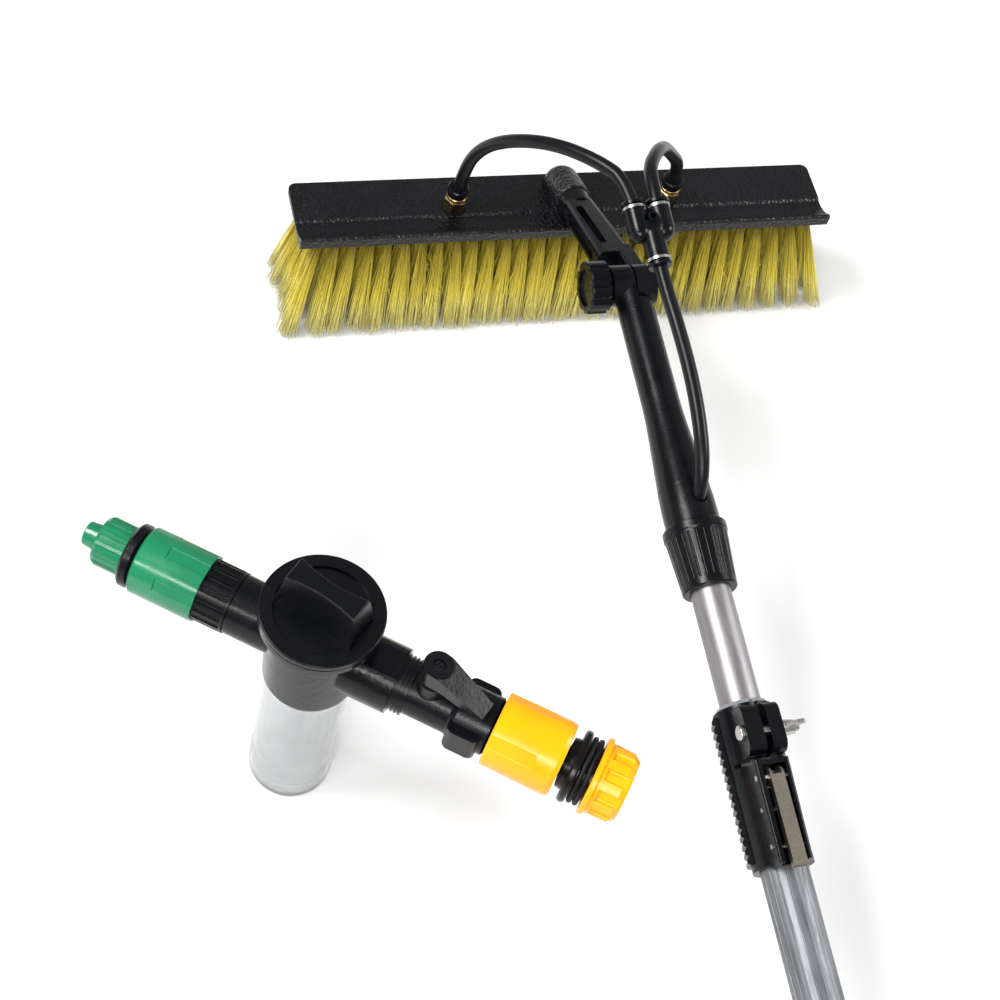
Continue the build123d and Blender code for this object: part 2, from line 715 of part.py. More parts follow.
splitter_ports = {
    "left": (splitter_mouth - splitter_across * port_gap / 2, splitter_direction),
    "right": (splitter_mouth + splitter_across * port_gap / 2, splitter_direction),
    "stem": (stem_tip, -splitter_direction),
}
ring_start, ring_end = 2.4, 4.0
with BuildPart() as y_splitter:
    for mouth, inward in splitter_ports.values():
        across, side = port_planes(mouth + inward * ring_end, inward)
        depth = 13.5 if mouth is not stem_tip else 15.5
        with BuildSketch(across):
            Circle(6.7)
        extrude(amount=depth)
        with Locations(mouth + inward * (ring_end + depth)):
            Sphere(6.3)
    # The crotch joins both branches to the stem.
    crotch = splitter_mouth + splitter_direction * 13
    middle = Plane(origin=crotch, x_dir=splitter_across, z_dir=splitter_direction)
    with BuildSketch(middle):
        SlotCenterToCenter(port_gap, 12.4)
    with BuildSketch(middle.offset(9.5)):
        Circle(6.0)
    loft()
    eyelet = Plane(
        origin=splitter_mouth + splitter_direction * 11,
        x_dir=splitter_across,
        z_dir=splitter_across.cross(splitter_direction),
    )
    with BuildSketch(eyelet):
        Circle(3.1)
        Circle(1.6, mode=Mode.SUBTRACT)
    extrude(amount=7.6, both=True)
    # Water ways and collar seats.
    for mouth, inward in splitter_ports.values():
        across, side = port_planes(mouth, inward)
        with BuildSketch(across):
            Circle(5.3)
        extrude(amount=6.2, mode=Mode.SUBTRACT)
        with BuildSketch(across):
            Circle(hose_radius + 0.1)
        extrude(amount=11.6, mode=Mode.SUBTRACT)
        with BuildSketch(across):
            Circle(2.4)
        extrude(amount=16, mode=Mode.SUBTRACT)
save(y_splitter, "y_splitter")

with BuildPart() as splitter_rings:
    for mouth, inward in splitter_ports.values():
        across, side = port_planes(mouth + inward * ring_start, inward)
        with BuildSketch(across):
            Circle(6.95)
            Circle(5.4, mode=Mode.SUBTRACT)
        extrude(amount=ring_end - ring_start - 0.05)
save(splitter_rings, "splitter_rings")

for port_name, (mouth, inward) in splitter_ports.items():
    across, side = port_planes(mouth, inward)
    with BuildPart() as splitter_collar:
        with BuildSketch(side):
            with BuildLine():
                Polyline(
                    (-1.0, 4.18), (-1.0, 6.6), (-0.5, 7.0), (1.2, 7.0), (1.2, 5.2), (5.0, 5.2), (5.0, 4.18),
                    close=True,
                )
            make_face()
        revolve(axis=Axis(mouth, inward))
    save(splitter_collar, "splitter_collar_" + port_name)

# ---- hoses ----

left_mouth, right_mouth = splitter_ports["left"][0], splitter_ports["right"][0]
seat_depth = 11.0  # how far a hose end stands inside its port
lead = 12.5  # straight hose outside a port
routes = {
    "hose_left": [
        spot(fitting_x[0], fitting_y, 87.4),
        spot(fitting_x[0], fitting_y, 119),
        spot(-69, -3, 146),
        spot(-57, -19, 168),
        spot(-41, -40, 186),
        spot(-24, -63, 196),
        left_mouth - splitter_direction * (lead + 2),
        left_mouth + splitter_direction * seat_depth,
    ],
    "hose_right": [
        right_mouth + splitter_direction * seat_depth,
        right_mouth - splitter_direction * lead,
        spot(8, -66, 194),
        spot(19, -49, 186),
        spot(31, -33, 173),
        spot(43, -19, 155),
        spot(56, -6, 135),
        spot(65, 1.2, 121.5),
        spot(fitting_x[1], fitting_y, 109),
        spot(fitting_x[1], fitting_y, 87.4),
    ],
    "hose_stem": [
        stem_tip - splitter_direction * seat_depth,
        stem_tip + splitter_direction * lead,
        spot(2, -166, 174.5),
        spot(4, -192, 167.5),
        spot(4, -217, 160.5),
        spot(3, -238, 152),
        spot(2, -251.7, 138.5),
        spot(2, -256.4, 123),
    ],
}
for hose_name, points in routes.items():
    radii = []
    for before, corner, after in zip(points, points[1:], points[2:]):
        turn = radians((corner - before).get_angle(after - corner))
        shorter = min((corner - before).length, (after - corner).length)
        radii.append(0.45 * shorter / tan(turn / 2))
    with BuildPart() as hose:
        with BuildLine() as path:
            FilletPolyline(*points, radius=radii)
        with BuildSketch(Plane(origin=points[0], z_dir=points[1] - points[0])):
            Circle(hose_radius)
        sweep(path=path.wires()[0])
    save(hose, hose_name)
    length = path.wires()[0].length
    swept = hose.part.volume / (pi * hose_radius**2)
    print(hose_name, "length", round(length, 1), "volume/section", round(swept, 1))
    print("  radii", [round(radius, 1) for radius in radii])

# ---- soap dispenser: head, lid, bottle ----

head_bottom = -31.0
head_top = 28.0
neck_top = -16.5
with BuildPart() as dispenser_head:
    with BuildSketch(pipe_side):
        with BuildLine():
            Polyline(
                (0, head_bottom), (23.2, head_bottom), (24.4, head_bottom + 3), (head_radius, 6), (head_radius + 0.4, 21),
                (flange_radius - 2, 23.5), (flange_radius, 24.2), (flange_radius, head_top), (0, head_top), close=True,
            )
        make_face()
    revolve(axis=bottle_axis)
    # Left port, and the right port with two flats.
    with BuildSketch(pipe_plane(-44)):
        Circle(16)
    extrude(amount=44)
    with BuildSketch(pipe_plane(0)):
        Circle(17.4)
        Rectangle(40, 31, mode=Mode.INTERSECT)
    extrude(amount=45.5)
    # The chamber under the lid, the bottle's threaded socket and the water way.
    with BuildSketch(deck(0, 8)):
        Circle(20.2)
    extrude(amount=30, mode=Mode.SUBTRACT)
    with BuildSketch(deck(0, head_bottom - 1)):
        Circle(20.2)
    extrude(amount=neck_top + 1.4 - head_bottom + 1, mode=Mode.SUBTRACT)
    with BuildSketch(pipe_plane(-50)):
        Circle(5)
    extrude(amount=100, mode=Mode.SUBTRACT)
    with BuildSketch(pipe_plane(-45)):
        Circle(12.1)
    extrude(amount=14, mode=Mode.SUBTRACT)
    with BuildSketch(pipe_plane(32)):
        Circle(15.1)
    extrude(amount=14, mode=Mode.SUBTRACT)
    with BuildSketch(deck(0, neck_top - 1)):
        Circle(2.6)
    extrude(amount=12, mode=Mode.SUBTRACT)
save(dispenser_head, "dispenser_head")

with BuildPart() as lid_seal:
    with BuildSketch(deck(0, head_top + 0.05)):
        Circle(24.5)
        Circle(20.6, mode=Mode.SUBTRACT)
    extrude(amount=1.2)
save(lid_seal, "lid_seal")

lid_bottom = head_top + 1.3
lid_top = lid_bottom + 3.4
bar_height = 20.0


def bar_outline(length, width, waist):
    """The outline of the lid's bar: straight ends and hollow flanks."""
    x, y = length / 2, width / 2
    Line((-x, y), (-x, -y))
    ThreePointArc((-x, -y), (0, -waist / 2), (x, -y))
    Line((x, -y), (x, y))
    ThreePointArc((x, y), (0, waist / 2), (-x, y))


with BuildPart() as dispenser_lid:
    with BuildSketch(deck(0, lid_bottom)):
        Circle(flange_radius + 0.3)
    extrude(amount=lid_top - lid_bottom)
    fillet(dispenser_lid.edges().group_by(Axis.Z)[-1], radius=0.8)
    with BuildSketch(deck(0, head_top - 16)):
        Circle(20.0)
    extrude(amount=17.5)
    # The recessed floor round the bar, and the bar with its hollow flanks.
    with BuildSketch(deck(0, lid_top - 1.6)):
        Circle(24.5)
    extrude(amount=2, mode=Mode.SUBTRACT)
    with BuildSketch(deck(0, lid_top - 2.2, knob_yaw)):
        with BuildLine():
            bar_outline(45, 24, 15)
        make_face()
    with BuildSketch(deck(0, lid_top + bar_height, knob_yaw)):
        with BuildLine():
            bar_outline(39, 14, 9)
        make_face()
    loft()
    fillet(dispenser_lid.edges().group_by(Axis.Z)[-1], radius=1.0)
    # Small dots round the rim.
    with BuildSketch(deck(0, lid_top - 0.3)):
        with PolarLocations(27.6, 12):
            Circle(0.6)
    extrude(amount=0.7)
    # A hollow plug.
    with BuildSketch(deck(0, head_top - 17)):
        Circle(17.0)
    extrude(amount=16, mode=Mode.SUBTRACT)
save(dispenser_lid, "dispenser_lid")

bottle_foot = -pipe_height
with BuildPart() as bottle:
    with BuildSketch(pipe_side):
        with BuildLine():
            Polyline(
                (0, bottle_foot + 2.2), (12, bottle_foot + 1.6), (17, bottle_foot), (21.6, bottle_foot),
                (22.9, bottle_foot + 1.6), (23.1, bottle_foot + 17), (bottle_radius, bottle_foot + 26),
                (bottle_radius, head_bottom - 3), (20.8, head_bottom - 0.4), (19.8, head_bottom - 0.4),
                (19.8, neck_top), (17.6, neck_top), (17.6, head_bottom - 4), (bottle_radius - 1.6, head_bottom - 8),
                (bottle_radius - 1.6, bottle_foot + 26), (21.4, bottle_foot + 16), (21.3, bottle_foot + 4),
                (18, bottle_foot + 3.2), (0, bottle_foot + 4.2), close=True,
            )
        make_face()
    revolve(axis=bottle_axis)
save(bottle, "bottle")

with BuildPart() as bottle_seal:
    with BuildSketch(deck(0, neck_top + 0.05)):
        Circle(19.9)
        Circle(15.0, mode=Mode.SUBTRACT)
    extrude(amount=1.25)
save(bottle_seal, "bottle_seal")

with BuildPart() as dip_tube:
    with BuildSketch(deck(0, bottle_foot + 8)):
        Circle(2.5)
        Circle(1.6, mode=Mode.SUBTRACT)
    extrude(amount=neck_top + 4 - bottle_foot - 8)
save(dip_tube, "dip_tube")

# ---- soap dispenser: outlet side ----


def ring(start, end, outer, inner):
    """The outline of a plain ring on the pipe."""
    return [(start, inner), (start, outer), (end, outer), (end, inner)]


with BuildPart() as outlet_core:
    with BuildSketch(pipe_side):
        with BuildLine():
            Polyline(
                (-94.5, 8.8), (-94.5, 13.2), (-93, 14.2), (-70, 14.2), (-68, 11.9), (-32, 11.9), (-32, 6),
                (-76, 6), (-76, 8.8), close=True,
            )
        make_face()
    revolve(axis=pipe_axis)
save(outlet_core, "outlet_core")

with BuildPart() as outlet_ring_nut:
    with BuildSketch(pipe_side):
        with BuildLine():
            Polyline(*ring(-66, -44.4, 16.5, 12.3), close=True)
        make_face()
    revolve(axis=pipe_axis)
    with BuildSketch(pipe_plane(-60.5)):
        with PolarLocations(16.5, 18):
            RectangleRounded(2.4, 3.0, 0.6)
    extrude(amount=14.5, mode=Mode.SUBTRACT)
save(outlet_ring_nut, "outlet_ring_nut")

# A sprung sleeve, drawn 3 mm towards the head to let the coupling go.
pad_count = 6
with BuildPart() as outlet_sleeve:
    with BuildSketch(pipe_side):
        with BuildLine():
            Polyline(
                (-96.6, 14.5), (-96.6, 16.9), (-95.6, 17.9), (-61.2, 18.1), (-61.2, 16.8), (-69.5, 16.8),
                (-69.5, 14.5), close=True,
            )
        make_face()
    revolve(axis=pipe_axis)
    with BuildSketch(pipe_plane(-83)):
        with PolarLocations(19.3, pad_count, start_angle=30):
            RectangleRounded(4.0, 7.4, 1)
    extrude(amount=30, mode=Mode.SUBTRACT)
save(outlet_sleeve, "outlet_sleeve")

with BuildPart() as outlet_coupling:
    with BuildSketch(pipe_side):
        with BuildLine():
            Polyline(
                (-113, 4.4), (-113, 10.4), (-103.4, 10.4), (-103.4, 15.6), (-102.0, 17.0), (-98.6, 17.0),
                (-97.4, 15.6), (-97.4, 8.4), (-79, 8.4), (-77, 7.4), (-77, 4.4), close=True,
            )
        make_face()
    revolve(axis=pipe_axis)
save(outlet_coupling, "outlet_coupling")

with BuildPart() as outlet_nut:
    with BuildSketch(pipe_side):
        with BuildLine():
            Polyline(
                (-119.6, 7.6), (-119.6, 12.0), (-117.6, 13.3), (-103.8, 13.3), (-103.8, 10.6), (-116.4, 10.6),
                (-116.4, 7.6), close=True,
            )
        make_face()
    revolve(axis=pipe_axis)
    with BuildSketch(pipe_plane(-120)):
        with PolarLocations(13.6, 14):
            RectangleRounded(2.4, 2.8, 0.6)
    extrude(amount=15, mode=Mode.SUBTRACT)
save(outlet_nut, "outlet_nut")

with BuildPart() as outlet_tip:
    with BuildSketch(pipe_side):
        with BuildLine():
            Polyline(
                (tip_end, hose_radius), (tip_end, 5.8), (tip_end + 0.6, 6.3), (-118, 7.4), (-116.1, 7.4),
                (-116.1, 10.2), (-113.2, 10.2), (-113.2, hose_radius), close=True,
            )
        make_face()
    revolve(axis=pipe_axis)
save(outlet_tip, "outlet_tip")

# ---- soap dispenser: ball valve and inlet side ----

grip_radius_valve = 15.4
tower_top = 20.5
with BuildPart() as valve_body:
    with BuildSketch(pipe_side):
        with BuildLine():
            Polyline(
                (33, 0), (33, 15), (53, 15), (53, 13.4), (76, 13.4), (79, grip_radius_valve), (97, grip_radius_valve),
                (98, 14.2), (132, 14.2), (134, 13), (134, 0), close=True,
            )
        make_face()
    revolve(axis=pipe_axis)
    # Thread turns that stay in view beside the head.
    for index in range(3):
        start = 46.6 + index * 2.1
        with BuildSketch(pipe_plane(start)):
            Circle(16)
            Circle(14.2, mode=Mode.SUBTRACT)
        extrude(amount=1.0, mode=Mode.SUBTRACT)
    with BuildSketch(deck(valve_x, 0)):
        Circle(8.4)
    extrude(amount=tower_top)
    # Two grip lobes, one each side of the lever.
    for side, bottom in ((-1, -8), (1, -12)):
        with BuildSketch(deck(86, bottom)):
            with Locations((0, side * 13)):
                RectangleRounded(17.5, 10, 4)
        extrude(amount=17.5)
    # The ball's chamber, the stem's bore and the water way.
    with Locations(pipe_origin + pipe_direction * valve_x):
        Sphere(ball_radius + 0.08, mode=Mode.SUBTRACT)
    with BuildSketch(deck(valve_x, 0)):
        Circle(3.5 + running)
    extrude(amount=30, mode=Mode.SUBTRACT)
    with BuildSketch(pipe_plane(30)):
        Circle(5)
    extrude(amount=110, mode=Mode.SUBTRACT)
    with BuildSketch(pipe_plane(116)):
        Circle(8.8)
    extrude(amount=20, mode=Mode.SUBTRACT)
save(valve_body, "valve_body")

with BuildPart() as valve_ball:
    with Locations(pipe_origin + pipe_direction * valve_x):
        Sphere(ball_radius)
    with BuildSketch(pipe_plane(valve_x - 15)):
        Circle(5)
    extrude(amount=30, mode=Mode.SUBTRACT)
    with BuildSketch(deck(valve_x, ball_radius - 2.2)):
        Rectangle(20, 2.3)
    extrude(amount=6, mode=Mode.SUBTRACT)
save(valve_ball, "valve_ball")

with BuildPart() as valve_stem:
    with BuildSketch(deck(valve_x, ball_radius + 0.3)):
        Circle(3.5)
    extrude(amount=20)
    with BuildSketch(deck(valve_x, ball_radius - 2.0)):
        Rectangle(5.6, 2.0)
    extrude(amount=3)
    with BuildSketch(deck(valve_x, 24)):
        Circle(1.6)
    extrude(amount=8, mode=Mode.SUBTRACT)
save(valve_stem, "valve_stem")

lever_base = tower_top + 0.35
lever_top = 33.0
lever_reach = 31.0
lever_drop = 11.5
lever_frame = deck(valve_x, 0, lever_yaw)
with BuildPart() as valve_lever:
    with BuildSketch(deck(valve_x, lever_base)):
        Circle(7.6)
    extrude(amount=lever_top - lever_base)
    # The arm slopes down to its tip; its side view is extruded across.
    with BuildSketch(Plane(origin=lever_frame.origin, x_dir=lever_frame.x_dir, z_dir=lever_frame.x_dir.cross(up))):
        with BuildLine():
            Polyline(
                (0, lever_top), (4, lever_top), (lever_reach, lever_top - lever_drop),
                (lever_reach + 1, lever_top - lever_drop - 4.5), (8.0, lever_base + 1.5), (0, lever_base + 1.5),
                close=True,
            )
        make_face()
    extrude(amount=8.0, both=True)
    # Its plan tapers from the boss to the tip.
    with BuildSketch(deck(valve_x, lever_base - 1, lever_yaw)):
        Circle(7.6)
        with BuildLine():
            Polyline((0.5, 7.6), (lever_reach + 2, 5.0), (lever_reach + 2, -5.0), (0.5, -7.6), close=True)
        make_face()
    extrude(amount=lever_top - lever_base + 2, mode=Mode.INTERSECT)
    with BuildSketch(deck(valve_x, lever_base - 1)):
        Circle(3.6)
    extrude(amount=9.5, mode=Mode.SUBTRACT)
    with BuildSketch(deck(valve_x, 28.2)):
        Circle(1.7)
    extrude(amount=4, mode=Mode.SUBTRACT)
    with BuildSketch(deck(valve_x, lever_top - 2.6)):
        Circle(3.3)
    extrude(amount=4, mode=Mode.SUBTRACT)
save(valve_lever, "valve_lever")

with BuildPart() as lever_screw:
    with BuildSketch(deck(valve_x, 24.2)):
        Circle(1.5)
    extrude(amount=lever_top - 2.5 - 24.2)
    with BuildSketch(deck(valve_x, lever_top - 2.5)):
        Circle(2.8)
    extrude(amount=1.6)
    with BuildSketch(deck(valve_x, lever_top - 1.7)):
        Rectangle(4.0, 0.8)
        Rectangle(0.8, 4.0)
    extrude(amount=2, mode=Mode.SUBTRACT)
save(lever_screw, "lever_screw")

# A sprung sleeve, drawn 3 mm towards the valve to let the coupling go.
with BuildPart() as inlet_sleeve:
    with BuildSketch(pipe_side):
        with BuildLine():
            Polyline(
                (98.4, 15.8), (98.4, 18.6), (99.2, 19.2), (133, 19.6), (135.4, 18.6), (135.4, 14.5),
                (102.5, 14.5), (102.5, 15.8), close=True,
            )
        make_face()
    revolve(axis=pipe_axis)
    with BuildSketch(pipe_plane(97)):
        with PolarLocations(20.4, 4, start_angle=50):
            RectangleRounded(3.2, 9, 1)
    extrude(amount=26, mode=Mode.SUBTRACT)
save(inlet_sleeve, "inlet_sleeve")

with BuildPart() as inlet_coupling:
    with BuildSketch(pipe_side):
        with BuildLine():
            Polyline(
                (118, 5), (118, 7.4), (120, 8.4), (136, 8.4), (136.5, 13), (140, 13.6), (140, 18.0), (141, 19.0),
                (143, 19.0), (144, 18.0), (144, 14.6), (151, 14.6), (151, 14.0), (160, 14.0), (160, 5), close=True,
            )
        make_face()
    revolve(axis=pipe_axis)
save(inlet_coupling, "inlet_coupling")

with BuildPart() as inlet_o_rings:
    for place in (146.0, 149.2):
        with BuildSketch(pipe_side):
            with Locations((place, 16.2)):
                Circle(1.4)
        revolve(axis=pipe_axis)
save(inlet_o_rings, "inlet_o_rings")

inlet_bore_radius = 8.5
with BuildPart() as inlet_nut:
    with BuildSketch(pipe_side):
        with BuildLine():
            Polyline(
                (151.6, 14.3), (151.6, 19.4), (152.4, 20.2), (154.2, 20.2), (155.2, 18.4), (166.5, 18.2), (nut_end, 15.6),
                (nut_end, inlet_bore_radius), (164.5, inlet_bore_radius), (164.5, 14.3), close=True,
            )
        make_face()
    revolve(axis=pipe_axis)
    with BuildSketch(pipe_plane(156.6)):
        with PolarLocations(18.7, 10):
            RectangleRounded(4.0, 6.4, 1.2)
    extrude(amount=14, mode=Mode.SUBTRACT)
save(inlet_nut, "inlet_nut")
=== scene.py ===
import json
import math
import random

import bpy
from mathutils import Matrix, Vector


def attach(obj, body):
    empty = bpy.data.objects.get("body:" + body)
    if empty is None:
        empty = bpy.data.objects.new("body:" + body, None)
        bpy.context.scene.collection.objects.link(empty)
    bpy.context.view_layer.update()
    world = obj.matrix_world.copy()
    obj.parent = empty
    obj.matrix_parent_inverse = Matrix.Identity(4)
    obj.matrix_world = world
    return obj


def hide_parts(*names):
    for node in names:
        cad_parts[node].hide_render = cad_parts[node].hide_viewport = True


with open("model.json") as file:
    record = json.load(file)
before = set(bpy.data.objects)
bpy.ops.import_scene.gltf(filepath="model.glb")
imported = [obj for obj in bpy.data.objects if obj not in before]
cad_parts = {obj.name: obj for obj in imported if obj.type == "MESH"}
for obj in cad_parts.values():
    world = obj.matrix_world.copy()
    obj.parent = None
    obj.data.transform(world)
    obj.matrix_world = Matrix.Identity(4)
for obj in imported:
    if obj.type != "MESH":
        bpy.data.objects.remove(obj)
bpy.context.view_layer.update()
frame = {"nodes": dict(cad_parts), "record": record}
nodes = frame["nodes"]

# ---- layout, repeated from the part's source, in metres ----

CENTRE = Vector((-0.071093, -0.582612, 0.0))
MM = 0.001


def spot(x, y, z):
    """A point of the layout in millimetres, in the row frame in metres."""
    return Vector((x, y, z)) * MM - CENTRE


SLOPE = math.radians(6.24)  # of the pole, down towards its grip
ALONG_X = Vector((1, 0, 0))
FITTING_X = (-75.0, 69.0)
FITTING_Y = 4.2
FITTING_SEAT = 87.4  # height at which a branch hose stops in its fitting
HOSE_RADIUS = 4.1
ROOT_HEIGHT = 71.8  # height of the bristles' roots

# ---- camera ----

azimuth, elevation, roll = (math.radians(v) for v in (-28.97, 55.36, 19.45))
back = Vector(
    (
        math.sin(azimuth) * math.cos(elevation),
        -math.cos(azimuth) * math.cos(elevation),
        math.sin(elevation),
    )
)
level = Vector((math.cos(azimuth), math.sin(azimuth), 0))
rise = back.cross(level)
right = level * math.cos(roll) + rise * math.sin(roll)
top = rise * math.cos(roll) - level * math.sin(roll)
camera_data = bpy.data.cameras.new("camera")
camera_data.lens = 65.39
camera_data.sensor_width = 36
camera_data.clip_start = 0.05
camera_data.clip_end = 30
camera = bpy.data.objects.new("camera", camera_data)
stand = Matrix.Translation(spot(-379.3, -729.9, 935.4))
camera.matrix_world = stand @ Matrix((right, top, back)).transposed().to_4x4()
bpy.context.collection.objects.link(camera)
bpy.context.scene.camera = camera


# ---- materials ----


def colour(code):
    """A colour written as six hex digits, as linear RGBA."""
    values = [int(code[i : i + 2], 16) / 255 for i in (0, 2, 4)]
    return [v / 12.92 if v <= 0.04045 else ((v + 0.055) / 1.055) ** 2.4 for v in values] + [1]


class Paint:
    """A material under construction, with short ways to add its nodes."""

    def __init__(self, name, rough=0.5, metal=0.0, specular=0.5):
        self.material = bpy.data.materials.new(name)
        self.material.use_nodes = True
        self.tree = self.material.node_tree
        self.shader = self.tree.nodes["Principled BSDF"]
        self.shader.inputs["Metallic"].default_value = metal
        self.shader.inputs["Roughness"].default_value = rough
        self.shader.inputs["Specular IOR Level"].default_value = specular
        self.place = self.tree.nodes.new("ShaderNodeTexCoord").outputs["Object"]

    def link(self, a, b):
        self.tree.links.new(a, b)

    def mapping(self, scale=(1, 1, 1), turn=(0, 0, 0)):
        node = self.tree.nodes.new("ShaderNodeMapping")
        node.inputs["Scale"].default_value = scale
        node.inputs["Rotation"].default_value = turn
        self.link(self.place, node.inputs["Vector"])
        return node.outputs["Vector"]

    def noise(self, scale, detail=3, vector=None):
        node = self.tree.nodes.new("ShaderNodeTexNoise")
        node.inputs["Scale"].default_value = scale
        node.inputs["Detail"].default_value = detail
        self.link(vector or self.place, node.inputs["Vector"])
        return node.outputs["Fac"]

    def cells(self, scale, vector=None):
        node = self.tree.nodes.new("ShaderNodeTexVoronoi")
        node.inputs["Scale"].default_value = scale
        self.link(vector or self.place, node.inputs["Vector"])
        return node.outputs["Distance"]

    def ramp(self, value, *stops):
        node = self.tree.nodes.new("ShaderNodeValToRGB")
        elements = node.color_ramp.elements
        while len(elements) < len(stops):
            elements.new(0.5)
        for element, (position, rgba) in zip(elements, stops):
            element.position = position
            element.color = rgba if hasattr(rgba, "__len__") else (rgba, rgba, rgba, 1)
        self.link(value, node.inputs["Fac"])
        return node.outputs["Color"]

    def spread(self, value, low, high, to_low, to_high):
        node = self.tree.nodes.new("ShaderNodeMapRange")
        ends = {"From Min": low, "From Max": high, "To Min": to_low, "To Max": to_high}
        for name, number in ends.items():
            node.inputs[name].default_value = number
        self.link(value, node.inputs["Value"])
        return node.outputs["Result"]

    def mix(self, factor, a, b, kind="MIX"):
        node = self.tree.nodes.new("ShaderNodeMix")
        node.data_type = "RGBA"
        node.blend_type = kind
        sockets = (node.inputs["Factor"], node.inputs[6], node.inputs[7])
        for socket, value in zip(sockets, (factor, a, b)):
            if isinstance(value, bpy.types.NodeSocket):
                self.link(value, socket)
            else:
                socket.default_value = value
        return node.outputs[2]

    def base(self, value):
        self.link(value, self.shader.inputs["Base Color"])

    def rough(self, value):
        self.link(value, self.shader.inputs["Roughness"])

    def bump(self, *heights):
        """Each height is (output, distance in millimetres)."""
        normal = None
        for height, depth in heights:
            node = self.tree.nodes.new("ShaderNodeBump")
            node.inputs["Distance"].default_value = depth * MM
            node.inputs["Strength"].default_value = 1
            self.link(height, node.inputs["Height"])
            if normal:
                self.link(normal, node.inputs["Normal"])
            normal = node.outputs["Normal"]
        self.link(normal, self.shader.inputs["Normal"])


def plastic(name, low, high, rough=(0.35, 0.5), grain=900, depth=0.03, specular=0.5):
    """Moulded plastic: two close tones, uneven gloss and a fine grain."""
    paint = Paint(name, specular=specular)
    broad = paint.noise(28, 4)
    paint.base(paint.ramp(broad, (0.3, colour(low)), (0.7, colour(high))))
    paint.rough(paint.spread(paint.noise(60, 4), 0.3, 0.7, *rough))
    paint.bump((paint.noise(grain, 3), depth))
    return paint


materials = {}


def add_plastic(name, low, high, *rest):
    materials[name] = plastic(name, low, high, *rest).material


add_plastic("black_plastic", "030406", "08090d", (0.2, 0.34), 900, 0.08, 0.2)
add_plastic("pale_plastic", "c6c6bd", "dcdcd3", (0.32, 0.48), 900, 0.03, 0.4)
add_plastic("seal_rubber", "030304", "070809", (0.45, 0.6), 1500, 0.03, 0.2)
add_plastic("grip_foam", "08090b", "101114", (0.8, 0.92), 1100, 0.25, 0.2)
add_plastic("hose", "040507", "0a0b0e", (0.28, 0.38), 1300, 0.04, 0.22)
add_plastic("green_plastic", "0a5c3c", "10744c", (0.16, 0.26), 700, 0.03, 0.5)
add_plastic("yellow_plastic", "d99200", "e39e00", (0.24, 0.36), 700, 0.03, 0.3)
liner_grey = plastic("liner_grey", "6d6f72", "85878a", (0.4, 0.5), 900, 0.03, 0.3).material
glossy = plastic("glossy_black", "030406", "08090d", (0.16, 0.26), 420, 0.14, 0.22).material

# Leather-like grain on the brush block.
block = Paint("block_grain", specular=0.3)
block.base(block.ramp(block.noise(30, 4), (0.3, colour("040507")), (0.7, colour("0b0c10"))))
block.rough(block.spread(block.noise(500, 3), 0.3, 0.7, 0.24, 0.46))
block.bump((block.cells(430), 0.6), (block.noise(1500, 2), 0.1))


def drawn_tube(name, low, high, rough, line_depth):
    """Drawn aluminium: fine lines along the pole."""
    paint = Paint(name, metal=1.0)
    drawn = paint.mapping((1, 0.012, 1), (-SLOPE, 0, 0))
    lines = paint.noise(1700, 3, drawn)
    paint.base(paint.ramp(paint.noise(420, 3, drawn), (0.32, colour(low)), (0.68, colour(high))))
    paint.rough(paint.spread(lines, 0.3, 0.7, *rough))
    paint.bump((lines, line_depth))
    return paint.material


materials["tube_aluminium"] = drawn_tube(
    "tube_aluminium", "66686c", "808285", (0.46, 0.58), 0.02
)
inner_tube_metal = drawn_tube("inner_tube_metal", "868488", "9a9697", (0.42, 0.52), 0.006)


def metal(name, low, high, rough, scale=160, depth=0.02):
    """Turned or pressed metal with a slightly uneven surface."""
    paint = Paint(name, metal=1.0)
    paint.base(paint.ramp(paint.noise(scale, 3), (0.3, colour(low)), (0.7, colour(high))))
    paint.rough(paint.spread(paint.noise(900, 3), 0.3, 0.7, *rough))
    paint.bump((paint.noise(1200, 2), depth))
    return paint.material


materials["steel"] = metal("steel", "a6a4a1", "c2c0bc", (0.22, 0.34))
dark_steel = metal("dark_steel", "26272a", "3c3d41", (0.3, 0.42))
warm_steel = metal("warm_steel", "8f857b", "988e83", (0.3, 0.4), 60, 0.01)
materials["brass"] = metal("brass", "7a6646", "b59a68", (0.2, 0.32), 90)
add_plastic("lever_metal", "030406", "0a0b0e", (0.18, 0.3), 500, 0.07, 0.28)

# Filaments: greenish yellow. They darken to olive towards the roots as painted shade between the
# tufts. They turn pale at the split tips, brightened further as painted light against the floor
# shadow.
bristle = Paint("bristle", rough=0.45, specular=0.25)
height = bristle.tree.nodes.new("ShaderNodeSeparateXYZ")
bristle.link(bristle.place, height.inputs["Vector"])
fine = bristle.noise(1800, 2, bristle.mapping((1, 1, 0.05)))
# Colour by height: painted shade darkens the roots and painted light brightens the tips.
painted_root_shade_and_tip_light = bristle.ramp(
    bristle.spread(height.outputs["Z"], 0.0, 0.072, 0, 1),
    (0.0, colour("fdfbe4")),
    (0.1, colour("f6ee9c")),
    (0.45, colour("eadb5a")),
    (0.8, colour("bcaa38")),
    (1.0, colour("5e5218")),
)
tone = bristle.ramp(fine, (0.3, (0.66, 0.62, 0.44, 1)), (0.7, (1, 1, 1, 1)))
bristle.base(bristle.mix(0.8, painted_root_shade_and_tip_light, tone, "MULTIPLY"))
bristle.rough(bristle.spread(fine, 0.3, 0.7, 0.35, 0.55))
materials["bristle"] = bristle.material

